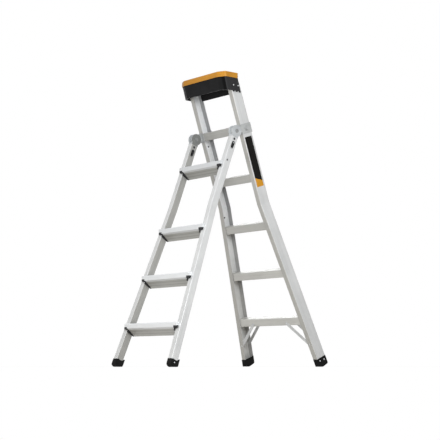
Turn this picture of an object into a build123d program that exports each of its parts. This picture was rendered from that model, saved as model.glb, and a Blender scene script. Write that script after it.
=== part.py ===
import os
from math import cos, degrees, hypot, atan2, radians, sin, tan

from build123d import *

os.makedirs("parts", exist_ok=True)

# Stance: lean of the two sections, in degrees from the vertical
rear_lean = 18.6
front_lean = 20.6

# Rear rails: channels with the web outside, flared outwards below a bend
rear_half = 187.0  # outer half width above the bend
rear_bend = 955.0  # from the floor to the bend, along the rail
rear_flare = 8.7  # degrees outwards below the bend
rear_flange = 32.0
rear_depth = 66.0
rail_wall = 2.5
rail_corner = 3.0

# Rear rungs: hollow, at an even pitch along the rails
first_rung = 266.0  # from the floor to the first rung's centre, along the rail
rung_pitch = 280.0
rung_count = 5
rung_height = 45.0
rung_wall = 2.0
rung_corner = 4.0
rung_groove = 3.0
rung_groove_depth = 0.9
rung_groove_pitch = 9.0
rung_groove_count = 5

# Strap braces between the first rung and the rails
brace_width = 18.0
brace_wall = 2.5
brace_reach = 115.0  # along the rung, from the flange's edge
brace_drop = 138.0  # down the rail, from the rung's centre
brace_lap = 12.0  # behind the flange, and up the rung's face

# Front rails: box tubes, flared outwards below a bend
front_outset = 11.0  # outer face beyond the rear rail's, above the bend
front_bend = 945.0
front_flare = 4.3
front_width = 34.0
front_depth = 42.0

# Treads: hollow wedges with a nosing in front of the rails
first_tread = 208.0  # from the floor to the nosing's lower edge
top_step_height = 360.0  # from the third tread to the top one
tread_count = 4
tread_nose = 12.0  # nosing in front of the rails
tread_nose_height = 27.0
tread_nose_round = 7.0
tread_drop = 43.0  # from the nosing's lower edge down to the rear edge
tread_back = 6.0  # behind the rails
tread_wall = 2.2
tread_rib = 3.0
tread_rib_depth = 1.0
tread_rib_pitch = 7.0
tread_rib_count = 7
tread_overlap = 18.0  # nosing over the front of each rail
cap_thickness = 14.0
cap_lobe = 7.0  # below the nosing
nose_notch = 8.0  # how far the nosing's ends are cut up for the lobes
nose_cut = 8.0  # length of that cut inside the rails

# Foot boots: the soles are flat in the middle and round up at the toes and heels
boot_wall = 2.0
boot_round = 4.0
rear_end = 15.0  # rails' ends above the floor, along the rails
front_end = 26.0
rear_boot_height = 42.0  # along the front of the rail
rear_boot_rise = 6.0  # higher at the back
rear_boot_toe = 7.0
rear_boot_flat = 22.0  # flat part of the sole, from the front
rear_boot_roll = 40.0
rear_boot_heel = 13.0
rear_boot_lift = 2.0  # lower edge of the heel, along the rail
front_boot_height = 48.0
front_boot_rise = 12.0
front_boot_back = 10.0  # behind the rail
front_boot_toe = 20.0
front_boot_heel = 15.0
front_boot_scoop = 26.0  # radius of the scooped upper edge
front_boot_scoop_low = 47.0  # lowest point of the scoop, along the rail
rear_rivet_up = 29.0
rear_rivet_in = 14.5  # first rivet behind the rail's front face
rear_rivet_pitch = 33.0
front_rivet_up = 33.0

# Hinge: a tongue on each collar between the cheeks of the front rail's head
hinge_offset = 48.0  # axis in front of the rear rails
tongue_radius = 22.0
tongue_thickness = 20.0
tongue_arm = 17.0  # half height of the arm behind the tongue
tongue_recess = 6.0  # depth of the recess that the stop bolt runs in
recess_margin = 15.5  # degrees beyond the bolt's middle at each end of the recess
cheek_radius = 33.0
cheek_gap = 0.5
fork_depth = 25.0  # from the axis down to the bottom of the fork
head_drop = 38.0  # from the axis down to the rail's end
head_plug = 24.0
pin_radius = 6.0
pin_clearance = 0.05
pin_head_radius = 11.0
pin_head = 4.0
running_gap = 0.3

# Release slide and stop bolt in the front rails
release_drop = 82.0  # from the hinge axis down to the slide's middle
release_length = 33.0
release_width = 17.0
release_proud = 2.5
release_travel = 10.0
release_dish = 9.0
bolt_width = 12.0
bolt_depth = 8.0

# Collars on the rear rails, with plastic liners
collar_height = 56.0
collar_wall = 2.5
collar_corner = 2.0
liner_wall = 1.0
slide_clearance = 0.4

# Lock plungers in the collars
lock_radius = 5.0
lock_clearance = 0.3
lock_travel = 5.0
housing_radius = 15.0
housing_height = 4.0
knob_radius = 11.0
knob_height = 4.5
knob_flute_count = 10

# Top cap: a moulded tray over the rear rails, with a rim
rail_above = 264.4  # from the top rung up to the rails' ends
cap_overhang = 10.0  # beyond the rails at the rim
cap_side = 5.0  # side wall at the lower edge
cap_front = 49.0  # in front of the rear rails, at the rim
cap_back = 6.0  # back wall in front of the rails' rear faces
cap_chamfer = 46.0  # front corners, across
cap_chamfer_depth = 22.0
cap_taper = 20.0  # how far the front face runs back towards its lower edge
cap_drop = 53.0  # from the rails' ends down to the lower edge
cap_wall = 5.0
cap_round = 9.0
tray_depth = 24.0
tray_lip = 13.0
tray_taper = 6.0  # degrees
rim_height = 19.0
rim_proud = 1.5
rim_round = 3.0

# Rivet heads
rivet_radius = 4.0
rivet_height = 1.8
rivet_taper = 35.0  # degrees

alpha = radians(rear_lean)
beta = radians(front_lean)


def rounded(corners, rounds):
    """Face between corners, each rounded by its own radius."""
    with BuildSketch() as face:
        with BuildLine():
            Polyline(*corners, close=True)
        make_face()
        for corner, radius in zip(corners, rounds):
            if radius:
                fillet(face.vertices().sort_by_distance(corner)[0], radius)
    return face.sketch


# Rear boots from the side, x rearwards and y up along the rail: the heel rolls up behind the flat sole
rear_heel = rear_depth + boot_wall
rear_outline = rounded(
    [
        (-boot_wall, rear_boot_height),
        (-boot_wall, boot_wall * tan(alpha)),
        (rear_boot_flat, -rear_boot_flat * tan(alpha)),
        (rear_heel, rear_boot_lift),
        (rear_heel, rear_boot_height + rear_boot_rise),
    ],
    [0, rear_boot_toe, rear_boot_roll, rear_boot_heel, 0],
)

# Front boots from the side: rounded at the toe and the heel, with a scooped upper edge
front_heel = front_depth + front_boot_back
with BuildSketch() as scooped:
    add(
        rounded(
            [
                (-boot_wall, front_boot_height),
                (-boot_wall, -boot_wall * tan(beta)),
                (front_heel, front_heel * tan(beta)),
                (front_heel, front_boot_height + front_boot_rise),
            ],
            [0, front_boot_toe, front_boot_heel, 0],
        )
    )
    with Locations((front_heel / 2, front_boot_scoop_low + front_boot_scoop)):
        Circle(front_boot_scoop, mode=Mode.SUBTRACT)
front_outline = scooped.sketch

# Section planes: x across, y up along the rails, z towards the front; each starts at the floor,
# on the front faces of its rails
hinge_up = first_rung + (rung_count - 1) * rung_pitch
hinge_z = hinge_up * cos(alpha) - hinge_offset * sin(alpha)
hinge_in = front_depth / 2
hinge_front = (hinge_z + hinge_in * sin(beta)) / cos(beta)
rear_reach = hinge_up * sin(alpha) + hinge_offset * cos(alpha)
front_reach = hinge_front * sin(beta) + hinge_in * cos(beta)
rear_sole = rear_outline.rotate(Axis.Z, rear_lean).bounding_box().max.X
front_sole = -front_outline.rotate(Axis.Z, -front_lean).bounding_box().min.X
hinge_y = (front_reach - rear_reach + front_sole - rear_sole) / 2
rear_plane = Plane((0, hinge_y + rear_reach, 0), x_dir=(1, 0, 0), z_dir=(0, -cos(alpha), -sin(alpha)))
front_plane = Plane((0, hinge_y - front_reach, 0), x_dir=(1, 0, 0), z_dir=(0, -cos(beta), sin(beta)))

# Side planes through the hinge axis: x towards the rear, y up along the rails, z across
rear_side = Plane((0, hinge_y, hinge_z), x_dir=(0, cos(alpha), sin(alpha)), z_dir=(1, 0, 0))
front_side = Plane((0, hinge_y, hinge_z), x_dir=(0, cos(beta), -sin(beta)), z_dir=(1, 0, 0))

front_half = rear_half + front_outset
rail_top = hinge_up * cos(alpha) + rail_above
rear_rail = (rear_plane, rear_half, rear_flare, rear_bend)
front_rail = (front_plane, front_half, front_flare, front_bend)


def save(builder, name):
    builder.part.label = name
    export_step(builder.part, f"parts/{name}.step")


def save_pair(builder, name):
    """Writes a right-hand piece and its mirror image."""
    save(builder, f"{name}_right")
    with BuildPart() as left:
        mirror(builder.part, about=Plane.YZ)
    save(left, f"{name}_left")


def save_both(builder, name):
    """Writes a right-hand piece and its mirror image as one group."""
    with BuildPart() as both:
        add(builder.part)
        mirror(builder.part, about=Plane.YZ)
    save(both, name)


def rail_x(rail, inset, up):
    """Half width at a height along the rail, at an inset from the outer face."""
    plane, half, flare, bend = rail
    if up >= bend:
        return half - inset
    return half + (bend - up) * tan(radians(flare)) - inset / cos(radians(flare))


def row(count, pitch):
    """Places at an even pitch on both sides of zero."""
    return [(step - (count - 1) / 2) * pitch for step in range(count)]


def upright(edges):
    """The edges that run up and down rather than across."""
    return [edge for edge in edges if abs(edge.tangent_at(0).Z) > sin(radians(45))]


def rail_line(rail, inset, low, high):
    """Points up along the rail, at an inset from the outer face."""
    plane, half, flare, bend = rail
    turn = bend - inset * tan(radians(flare) / 2)
    return [(rail_x(rail, inset, low), low), (half - inset, turn), (half - inset, high)]


def rail_start(rail, low):
    """Plane square to the rail at its low end: x inwards, y towards the front."""
    plane, half, flare, bend = rail
    tilt = radians(flare)
    inwards = plane.x_dir * -cos(tilt) + plane.y_dir * -sin(tilt)
    upwards = plane.x_dir * -sin(tilt) + plane.y_dir * cos(tilt)
    origin = plane.from_local_coords((rail_x(rail, 0, low), low, 0))
    return Plane(origin, x_dir=inwards, z_dir=upwards)


def side_wall(rail, inset, up, side):
    """Plane along a rail's wall at a height, with its normal pointing outwards."""
    plane, half, flare, bend = rail
    tilt = radians(flare) if up < bend else 0
    normal = plane.x_dir * (side * cos(tilt)) + plane.y_dir * sin(tilt)
    origin = plane.from_local_coords((side * rail_x(rail, inset, up), up, 0))
    return Plane(origin, x_dir=-plane.z_dir, z_dir=normal)


def dome(plane, points):
    """Rivet heads that stand on a plane, at points of it."""
    with BuildSketch(plane) as heads:
        with Locations(*points):
            Circle(rivet_radius)
    extrude(heads.sketch, amount=rivet_height, taper=rivet_taper)


# Rear rails
with BuildPart() as rear_rail_right:
    with BuildLine(rear_plane) as rear_path:
        Polyline(*rail_line(rear_rail, 0, rear_end, rail_top / cos(alpha) + rear_depth))
    with BuildSketch(rail_start(rear_rail, rear_end)) as channel:
        with Locations((rear_flange / 2, -rear_depth / 2)):
            Rectangle(rear_flange, rear_depth)
        fillet(channel.vertices().group_by(Axis.X)[0], rail_corner)
        with Locations((rail_wall + rear_flange / 2, -rear_depth / 2)):
            Rectangle(rear_flange, rear_depth - 2 * rail_wall, mode=Mode.SUBTRACT)
    sweep(path=rear_path.wire(), transition=Transition.RIGHT)
    split(bisect_by=Plane.XY.offset(rail_top), keep=Keep.BOTTOM)
    with BuildSketch(rear_side.offset(rear_half)):
        with Locations(*[(hinge_offset + rear_depth / 2, -step * rung_pitch) for step in range(2)]):
            Circle(lock_radius + lock_clearance)
    extrude(amount=-2 * rail_wall, mode=Mode.SUBTRACT)
save_pair(rear_rail_right, "rear_rail")

# Rear rungs, cut to the webs of the rails
rung_depth = rear_depth - 2 * (rail_wall + brace_wall)
rung_ups = [first_rung + step * rung_pitch for step in range(rung_count)]
for number, up in enumerate(rung_ups, start=1):
    rung_plane = Plane(
        rear_plane.from_local_coords((0, up, -rear_depth / 2)), x_dir=rear_side.x_dir, z_dir=(1, 0, 0)
    )
    grooves = [(place, rung_height / 2) for place in row(rung_groove_count, rung_groove_pitch)]
    with BuildPart() as rung:
        with BuildSketch(rung_plane):
            RectangleRounded(rung_depth, rung_height, rung_corner)
            RectangleRounded(
                rung_depth - 2 * rung_wall, rung_height - 2 * rung_wall, rung_corner - rung_wall,
                mode=Mode.SUBTRACT,
            )
            with Locations(*grooves):
                Rectangle(rung_groove, 2 * rung_groove_depth, mode=Mode.SUBTRACT)
        extrude(amount=rail_x(rear_rail, 0, up) + rung_height, both=True)
        for side in (-1, 1):
            split(bisect_by=side_wall(rear_rail, rail_wall, up, side), keep=Keep.BOTTOM)
    save(rung, f"rear_rung_{number}")

# Strap braces: one behind the front flange and one before the rear flange on each side
brace_top_up = first_rung - rung_height / 2 + brace_lap
brace_top = (rail_x(rear_rail, rear_flange, first_rung) - brace_reach, brace_top_up)
brace_low_up = first_rung - brace_drop
brace_low = (rail_x(rear_rail, rear_flange - brace_lap, brace_low_up), brace_low_up)
brace_run = (brace_low[0] - brace_top[0], brace_low[1] - brace_top[1])
brace_middle = ((brace_low[0] + brace_top[0]) / 2, (brace_low[1] + brace_top[1]) / 2)
brace_angle = degrees(atan2(brace_run[1], brace_run[0]))
brace_behind = {"front": rail_wall, "rear": rear_depth - rail_wall - brace_wall}
for name, behind in brace_behind.items():
    with BuildPart() as brace:
        with BuildSketch(rear_plane.offset(-behind)):
            with Locations(Location((*brace_middle, 0), (0, 0, brace_angle))):
                SlotCenterToCenter(hypot(*brace_run), brace_width)
        extrude(amount=-brace_wall)
    save_pair(brace, f"brace_{name}")

# Rivet heads on the upper ends of the front braces, and on the flanges at their lower ends
with BuildPart() as brace_rivets:
    dome(rear_plane.offset(-rail_wall), [brace_top])
    dome(rear_plane, [brace_low])
save_both(brace_rivets, "brace_rivets")


def strip(rail, inset, width, low, high):
    """Corners of a strip along a rail below the bend, between two insets from the outer face."""
    outer = [(rail_x(rail, inset, up), up) for up in (low, high)]
    inner = [(rail_x(rail, inset + width, up), up) for up in (high, low)]
    return outer + inner


def boot(rail, width, depth, heel, end, outline, name):
    """Rubber boot round a rail's lower end: a rounded block with a socket, cut to a side outline."""
    plane = rail[0]
    side = Plane(plane.origin, x_dir=-plane.z_dir, z_dir=(1, 0, 0))
    low = -2 * depth
    high = 2 * depth
    with BuildPart() as socket:
        with BuildSketch(plane):
            with BuildLine():
                Polyline(*strip(rail, 0, width, low, high), close=True)
            make_face()
        extrude(amount=-depth)
        split(bisect_by=rail_start(rail, end), keep=Keep.TOP)
    with BuildPart() as shoe:
        with BuildSketch(plane.offset(boot_wall)):
            with BuildLine():
                Polyline(*strip(rail, -boot_wall, width + 2 * boot_wall, low, high), close=True)
            make_face()
        extrude(amount=-heel - boot_wall)
        fillet(upright(shoe.edges()), boot_round)
        extrude(side * outline, amount=2 * rail_x(rail, 0, low), mode=Mode.INTERSECT)
        add(socket.part, mode=Mode.SUBTRACT)
    save_pair(shoe, name)


boot(rear_rail, rear_flange, rear_depth, rear_heel, rear_end, rear_outline, "rear_foot")
boot(front_rail, front_width, front_depth, front_heel, front_end, front_outline, "front_foot")

# Rivet heads on the outer sides of the boots
with BuildPart() as rear_foot_rivets:
    dome(
        side_wall(rear_rail, -boot_wall, rear_rivet_up, 1),
        [(rear_rivet_in, 0), (rear_rivet_in + rear_rivet_pitch, 0)],
    )
save_both(rear_foot_rivets, "rear_foot_rivets")
with BuildPart() as front_foot_rivets:
    dome(side_wall(front_rail, -boot_wall, front_rivet_up, 1), [(front_depth / 2, 0)])
save_both(front_foot_rivets, "front_foot_rivets")

# Front rails, with slots for the release slides through both side walls
rail_end = hinge_front - head_drop
with BuildPart() as front_rail_right:
    with BuildLine(front_plane) as front_path:
        Polyline(*rail_line(front_rail, 0, front_end, rail_end))
    with BuildSketch(rail_start(front_rail, front_end)) as tube:
        with Locations((front_width / 2, -front_depth / 2)):
            RectangleRounded(front_width, front_depth, rail_corner)
            Rectangle(front_width - 2 * rail_wall, front_depth - 2 * rail_wall, mode=Mode.SUBTRACT)
    sweep(path=front_path.wire(), transition=Transition.RIGHT)
    with BuildSketch(front_side.offset(front_half + release_proud)):
        with Locations((0, -release_drop - release_travel / 2)):
            SlotOverall(
                release_length + release_travel + 2 * cheek_gap, release_width + 2 * cheek_gap, rotation=90
            )
    extrude(amount=-front_width - 2 * release_proud, mode=Mode.SUBTRACT)
save_pair(front_rail_right, "front_rail")

# Treads: the rear edge follows the lean of the rails
rail_span = front_depth / cos(beta) + tread_back
tread_rise = rung_pitch * cos(alpha)
tread_levels = [first_tread + step * tread_rise for step in range(tread_count - 1)]
tread_levels.append(tread_levels[-1] + top_step_height)
for number, level in enumerate(tread_levels, start=1):
    face_y = hinge_y - front_reach + level * tan(beta)
    up = level / cos(beta)
    inner = rail_x(front_rail, front_width, up)
    top = level + tread_nose_height
    low = level - tread_drop
    nose_y = face_y - tread_nose
    top_y = face_y + tread_nose_height * tan(beta)
    low_y = face_y - tread_drop * tan(beta) + rail_span
    back_y = top_y + rail_span
    nose_low = (nose_y, level)
    nose_front = (nose_y, top - tread_nose_round)
    nose_top = (nose_y + tread_nose_round, top)
    with BuildPart() as tread:
        with BuildSketch(Plane.YZ) as wedge:
            with BuildLine():
                Polyline(nose_top, (back_y, top), (low_y, low), nose_low, nose_front)
                RadiusArc(nose_front, nose_top, tread_nose_round)
            make_face()
            offset(amount=-tread_wall, kind=Kind.INTERSECTION, mode=Mode.SUBTRACT)
            middle_y = (nose_y + back_y) / 2
            with Locations(*[(middle_y + place, top) for place in row(tread_rib_count, tread_rib_pitch)]):
                Rectangle(tread_rib, 2 * tread_rib_depth, mode=Mode.SUBTRACT)
        extrude(amount=inner + front_width, both=True)
        for side in (-1, 1):
            split(bisect_by=side_wall(front_rail, front_width + cap_thickness, up, side), keep=Keep.BOTTOM)
        nose_ends = ((level, inner - nose_cut), (level + nose_notch, inner + tread_overlap))
        for lower, reach in nose_ends:
            with BuildSketch(Plane.YZ):
                with BuildLine():
                    behind_y = face_y + (lower - level) * tan(beta) - running_gap
                    Polyline(
                        nose_top, (top_y - running_gap, top), (behind_y, lower), (nose_y, lower), nose_front
                    )
                    RadiusArc(nose_front, nose_top, tread_nose_round)
                make_face()
            extrude(amount=reach, both=True)
    save(tread, f"tread_{number}")

    # End caps: a plate between the tread and the rail, and a lobe in the cut of the nosing's end
    slope = tread_drop / (low_y - nose_y)
    meet = (tread_nose - running_gap) * slope / (1 - slope * tan(beta))
    with BuildPart() as cap:
        with BuildSketch(Plane.YZ):
            with BuildLine():
                Polyline(
                    (top_y - running_gap, top), (back_y, top), (low_y, low),
                    (face_y - running_gap - meet * tan(beta), level - meet), close=True,
                )
            make_face()
        extrude(amount=inner + front_width)
        split(bisect_by=side_wall(front_rail, front_width, up, 1), keep=Keep.BOTTOM)
        split(bisect_by=side_wall(front_rail, front_width + cap_thickness, up, 1), keep=Keep.TOP)
        with BuildSketch(Plane.YZ.offset(inner - nose_cut)):
            with BuildLine():
                Polyline(
                    (nose_y, level + nose_notch),
                    (face_y - running_gap + nose_notch * tan(beta), level + nose_notch),
                    (face_y - running_gap - cap_lobe * tan(beta), level - cap_lobe),
                    (nose_y + running_gap, level - cap_lobe / 2), close=True,
                )
            make_face()
        extrude(amount=tread_overlap + nose_cut)
    save_both(cap, f"tread_caps_{number}")

# Hinge heads: forked castings plugged into the tops of the front rails
rail_middle = front_half - front_width / 2
fork_gap = tongue_thickness + 2 * cheek_gap
with BuildPart() as hinge_head:
    with BuildSketch(front_side.offset(front_half)):
        Circle(cheek_radius)
        with Locations((0, -head_drop / 2)):
            Rectangle(front_depth, head_drop)
    extrude(amount=-front_width)
    with BuildSketch(front_side.offset(front_half - rail_wall)):
        with Locations((0, -head_drop - head_plug / 2)):
            Rectangle(front_depth - 2 * rail_wall, head_plug)
    extrude(amount=-front_width + 2 * rail_wall)
    with BuildSketch(front_side.offset(rail_middle)):
        with Locations((0, cheek_radius - fork_depth)):
            Rectangle(3 * cheek_radius, 2 * cheek_radius)
    extrude(amount=fork_gap / 2, both=True, mode=Mode.SUBTRACT)
    with BuildSketch(front_side.offset(rail_middle)):
        with Locations((0, -head_drop)):
            Rectangle(bolt_depth + 2 * running_gap, 4 * head_plug)
    extrude(amount=bolt_width / 2 + running_gap, both=True, mode=Mode.SUBTRACT)
    with BuildSketch(front_side.offset(front_half)):
        Circle(pin_radius + pin_clearance)
    extrude(amount=-front_width, mode=Mode.SUBTRACT)
save_pair(hinge_head, "hinge_head")

# Screw heads of the hinge heads, on the outer and inner faces of the rails
screw_up = -head_drop - head_plug / 2
inner_side = Plane(
    front_side.offset(front_half - front_width).origin, x_dir=-front_side.x_dir, z_dir=(-1, 0, 0)
)
with BuildPart() as head_screws:
    dome(front_side.offset(front_half), [(0, screw_up)])
    dome(inner_side, [(0, screw_up)])
save_both(head_screws, "head_screws")

# Release slides with finger dishes, and the stop bolts seated in them
bolt_seat = -release_drop + release_length / 4
with BuildPart() as release_slide:
    with BuildSketch(front_side.offset(front_half + release_proud)):
        with Locations((0, -release_drop)):
            SlotOverall(release_length, release_width, rotation=90)
    extrude(amount=-front_width - 2 * release_proud)
    for across in (front_half + release_proud, front_half - front_width - release_proud):
        with BuildSketch(front_side.offset(across)):
            with Locations((0, -release_drop)):
                Circle(release_dish / 2)
        extrude(amount=release_proud / 2, both=True, mode=Mode.SUBTRACT)
    with BuildSketch(front_side.offset(rail_middle)):
        with Locations((0, bolt_seat + release_length / 2)):
            Rectangle(bolt_depth, release_length)
    extrude(amount=bolt_width / 2, both=True, mode=Mode.SUBTRACT)
save_pair(release_slide, "release_slide")

recess_radius = tongue_radius - tongue_recess
bolt_tip = -recess_radius - running_gap
with BuildPart() as stop_bolt:
    with BuildSketch(front_side.offset(rail_middle)):
        with Locations((0, (bolt_seat + bolt_tip) / 2)):
            Rectangle(bolt_depth, bolt_tip - bolt_seat)
    extrude(amount=bolt_width / 2, both=True)
save_pair(stop_bolt, "stop_bolt")

# Collars: channels round the rear rails, with a hinge tongue and a plunger housing
collar_gap = slide_clearance + liner_wall
collar_outer = rear_half + collar_gap + collar_wall
collar_inner = rear_half - rear_flange
collar_base = Plane(
    rear_plane.from_local_coords((0, hinge_up - collar_height / 2, 0)),
    x_dir=(1, 0, 0),
    z_dir=rear_plane.y_dir,
)
lock_point = (hinge_offset + rear_depth / 2, 0)
fold_angle = rear_lean + front_lean


def clasp(inside, outside, corner):
    """Face of a channel that wraps a rear rail, between two offsets from the rail."""
    width = rear_flange + outside
    with BuildSketch(collar_base) as face:
        with Locations((collar_inner + width / 2, rear_depth / 2)):
            Rectangle(width, rear_depth + 2 * outside)
        if corner:
            fillet(face.vertices().group_by(Axis.X)[-1], corner)
        with Locations((collar_inner + (rear_flange + inside) / 2, rear_depth / 2)):
            Rectangle(rear_flange + inside, rear_depth + 2 * inside, mode=Mode.SUBTRACT)
    return face.sketch


with BuildPart() as collar:
    extrude(clasp(collar_gap, collar_gap + collar_wall, collar_corner), amount=collar_height)
    arm_length = hinge_offset - collar_gap - collar_wall / 2
    with BuildSketch(rear_side.offset(rail_middle)):
        Circle(tongue_radius)
        with Locations((arm_length / 2, 0)):
            Rectangle(arm_length, 2 * tongue_arm)
    extrude(amount=tongue_thickness / 2, both=True)
    with BuildSketch(rear_side.offset(rail_middle)):
        Circle(tongue_radius + running_gap)
        Circle(recess_radius, mode=Mode.SUBTRACT)
        with BuildLine():
            reach = 2 * tongue_radius
            first = radians(-90 - fold_angle - recess_margin)
            last = radians(-90 + recess_margin)
            Polyline(
                (0, 0),
                *[(reach * cos(angle), reach * sin(angle)) for angle in (first, (first + last) / 2, last)],
                close=True,
            )
        make_face(mode=Mode.INTERSECT)
    extrude(amount=tongue_thickness / 2, both=True, mode=Mode.SUBTRACT)
    with BuildSketch(rear_side.offset(rail_middle)):
        Circle(pin_radius + pin_clearance)
    extrude(amount=tongue_thickness, both=True, mode=Mode.SUBTRACT)
    with BuildSketch(rear_side.offset(collar_outer)):
        with Locations(lock_point):
            Circle(housing_radius)
            Circle(knob_radius + 2 * lock_clearance, mode=Mode.SUBTRACT)
    extrude(amount=housing_height)
    with BuildSketch(rear_side.offset(collar_outer)):
        with Locations(lock_point):
            Circle(lock_radius + lock_clearance)
    extrude(amount=-collar_wall, mode=Mode.SUBTRACT)
save_pair(collar, "collar")

with BuildPart() as liner:
    extrude(clasp(slide_clearance, collar_gap, 0), amount=collar_height)
    with BuildSketch(rear_side.offset(rear_half + collar_gap)):
        with Locations(lock_point):
            Circle(lock_radius + lock_clearance)
    extrude(amount=-liner_wall, mode=Mode.SUBTRACT)
save_pair(liner, "slide_liner")

# Hinge pins, headed at both ends
with BuildPart() as hinge_pin:
    with BuildSketch(front_side.offset(front_half + running_gap)):
        Circle(pin_radius)
    extrude(amount=-front_width - 2 * running_gap)
    for across, way in ((front_half + running_gap, 1), (front_half - front_width - running_gap, -1)):
        with BuildSketch(front_side.offset(across)):
            Circle(pin_head_radius)
        extrude(amount=way * pin_head)
    rims = hinge_pin.edges().filter_by(GeomType.CIRCLE).group_by(Axis.X)
    chamfer([*rims[0], *rims[-1]], pin_head / 3)
save_pair(hinge_pin, "hinge_pin")

# Lock plungers, drawn back: the tip stands just clear of the rail
knob_base = collar_outer + lock_travel + running_gap
with BuildPart() as lock_pin:
    with BuildSketch(rear_side.offset(rear_half + slide_clearance)):
        with Locations(lock_point):
            Circle(lock_radius)
    extrude(amount=knob_base - rear_half - slide_clearance)
    with BuildSketch(rear_side.offset(knob_base)):
        with Locations(lock_point):
            Circle(knob_radius)
            with PolarLocations(knob_radius + lock_radius / 3, knob_flute_count):
                Circle(lock_radius / 2, mode=Mode.SUBTRACT)
    extrude(amount=knob_height)
save_pair(lock_pin, "lock_pin")


def cap_outline(half, front, back):
    """Outline of the top cap, chamfered at the front corners."""
    return [
        (-half, back), (-half, front + cap_chamfer_depth), (-half + cap_chamfer, front),
        (half - cap_chamfer, front), (half, front + cap_chamfer_depth), (half, back),
    ]


def cap_back_at(height):
    """Place of the cap's back wall, which leans with the rails."""
    return rear_plane.origin.Y - height * tan(alpha) + rear_depth / cos(alpha) - cap_back


# Top cap: a tapered shell, open below and behind for the rails, with a tool tray on top
cap_bottom = rail_top - cap_drop
cap_top = rail_top + cap_wall + tray_depth
cap_half = rear_half + cap_overhang
cap_front_y = rear_plane.origin.Y - cap_top * tan(alpha) - cap_front
cap_back_y = cap_back_at(cap_top)
cap_lower_half = rear_half + cap_side
rail_recess = rear_flange + running_gap
with BuildPart() as rail_space:
    with BuildSketch(rear_plane):
        with Locations((rear_half - rail_recess / 2, rail_top / cos(alpha))):
            Rectangle(rail_recess, 4 * cap_drop)
    extrude(amount=-2 * rear_depth)
    split(bisect_by=Plane.XY.offset(rail_top), keep=Keep.BOTTOM)
    mirror(about=Plane.YZ)
with BuildPart() as top_cap:
    for height, half, setback in ((cap_bottom, cap_lower_half, cap_taper), (cap_top, cap_half, 0)):
        with BuildSketch(Plane.XY.offset(height)):
            with BuildLine():
                Polyline(*cap_outline(half, cap_front_y + setback, cap_back_at(height)), close=True)
            make_face()
    loft(ruled=True)
    fillet(upright(top_cap.edges()), cap_round)
    for height in (cap_bottom, rail_top):
        setback = cap_taper * (cap_top - height) / (cap_top - cap_bottom) + cap_wall
        back = cap_back_at(height) - cap_wall
        with BuildSketch(Plane.XY.offset(height)):
            with BuildLine():
                Polyline(*cap_outline(rear_half, cap_front_y + setback, back), close=True)
            make_face()
    loft(ruled=True, mode=Mode.SUBTRACT)
    add(rail_space.part, mode=Mode.SUBTRACT)
    with BuildSketch(Plane.XY.offset(cap_top)):
        with BuildLine():
            Polyline(
                *cap_outline(cap_half - tray_lip, cap_front_y + tray_lip, cap_back_y - tray_lip), close=True
            )
        make_face()
    extrude(amount=-tray_depth, taper=tray_taper, mode=Mode.SUBTRACT)
save(top_cap, "top_cap")

with BuildPart() as cap_rim:
    with BuildSketch(Plane.XY.offset(cap_top)):
        with BuildLine():
            Polyline(
                *cap_outline(cap_half + rim_proud, cap_front_y - rim_proud, cap_back_y + rim_proud),
                close=True,
            )
        make_face()
        with BuildLine():
            Polyline(
                *cap_outline(cap_half - tray_lip, cap_front_y + tray_lip, cap_back_y - tray_lip), close=True
            )
        make_face(mode=Mode.SUBTRACT)
    extrude(amount=rim_height)
    fillet(upright(cap_rim.edges()), cap_round)
    fillet(cap_rim.faces().sort_by(Axis.Z)[-1].outer_wire().edges(), rim_round)
save(cap_rim, "cap_rim")

# Rivet heads that hold the cap to the rails, on its sloping side walls
wall_slope = (cap_half - cap_lower_half) / (cap_top - cap_bottom)
rivet_z = (cap_bottom + rail_top) / 2 + rivet_radius
rivet_x = cap_lower_half + (rivet_z - cap_bottom) * wall_slope
rivet_y = rear_plane.origin.Y - rivet_z * tan(alpha)
with BuildPart() as cap_rivets:
    dome(
        Plane((rivet_x, rivet_y, rivet_z), x_dir=(0, 1, 0), z_dir=(1, 0, -wall_slope)),
        [(rear_depth / 4, 0), (rear_depth * 3 / 4, 0)],
    )
save_both(cap_rivets, "cap_rivets")
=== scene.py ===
# %% [markdown]
# A combination ladder stands open: a flared section with rungs leans one way, a flared section with
# treads leans the other, and two cast collars on the rung section carry the hinges. Rails, rungs,
# treads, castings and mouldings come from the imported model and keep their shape. This lesson gives
# them light and finishes, and makes the small pieces that are easier to shape in Blender than in CAD.

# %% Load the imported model
from math import cos, pi, radians, sin, tan

import bmesh
import bpy
from mathutils import Matrix, Vector


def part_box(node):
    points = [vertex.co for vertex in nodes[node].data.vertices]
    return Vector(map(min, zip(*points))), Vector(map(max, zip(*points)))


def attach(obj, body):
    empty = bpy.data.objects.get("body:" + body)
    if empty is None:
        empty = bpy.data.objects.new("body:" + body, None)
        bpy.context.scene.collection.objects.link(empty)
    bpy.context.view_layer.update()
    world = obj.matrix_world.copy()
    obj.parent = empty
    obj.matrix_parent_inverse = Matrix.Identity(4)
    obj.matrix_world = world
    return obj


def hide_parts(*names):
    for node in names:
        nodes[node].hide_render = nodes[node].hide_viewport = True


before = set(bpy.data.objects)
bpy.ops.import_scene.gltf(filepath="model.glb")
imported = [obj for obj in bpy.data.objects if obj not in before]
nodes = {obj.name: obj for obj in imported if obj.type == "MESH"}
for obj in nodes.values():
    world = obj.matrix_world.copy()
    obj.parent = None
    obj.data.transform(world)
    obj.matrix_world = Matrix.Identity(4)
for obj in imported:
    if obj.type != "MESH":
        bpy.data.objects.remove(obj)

scene = bpy.context.scene
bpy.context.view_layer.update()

# %% [markdown]
# The camera stands where it stood for the photograph. Its bearing, distance and focal length were
# found by matching the edges of the rails, rungs and treads, so they can simply be typed in. A
# camera turned 90 degrees about X looks along +Y; a turn about Z then brings it round to the side,
# and a few degrees more about X lift its aim.

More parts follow.
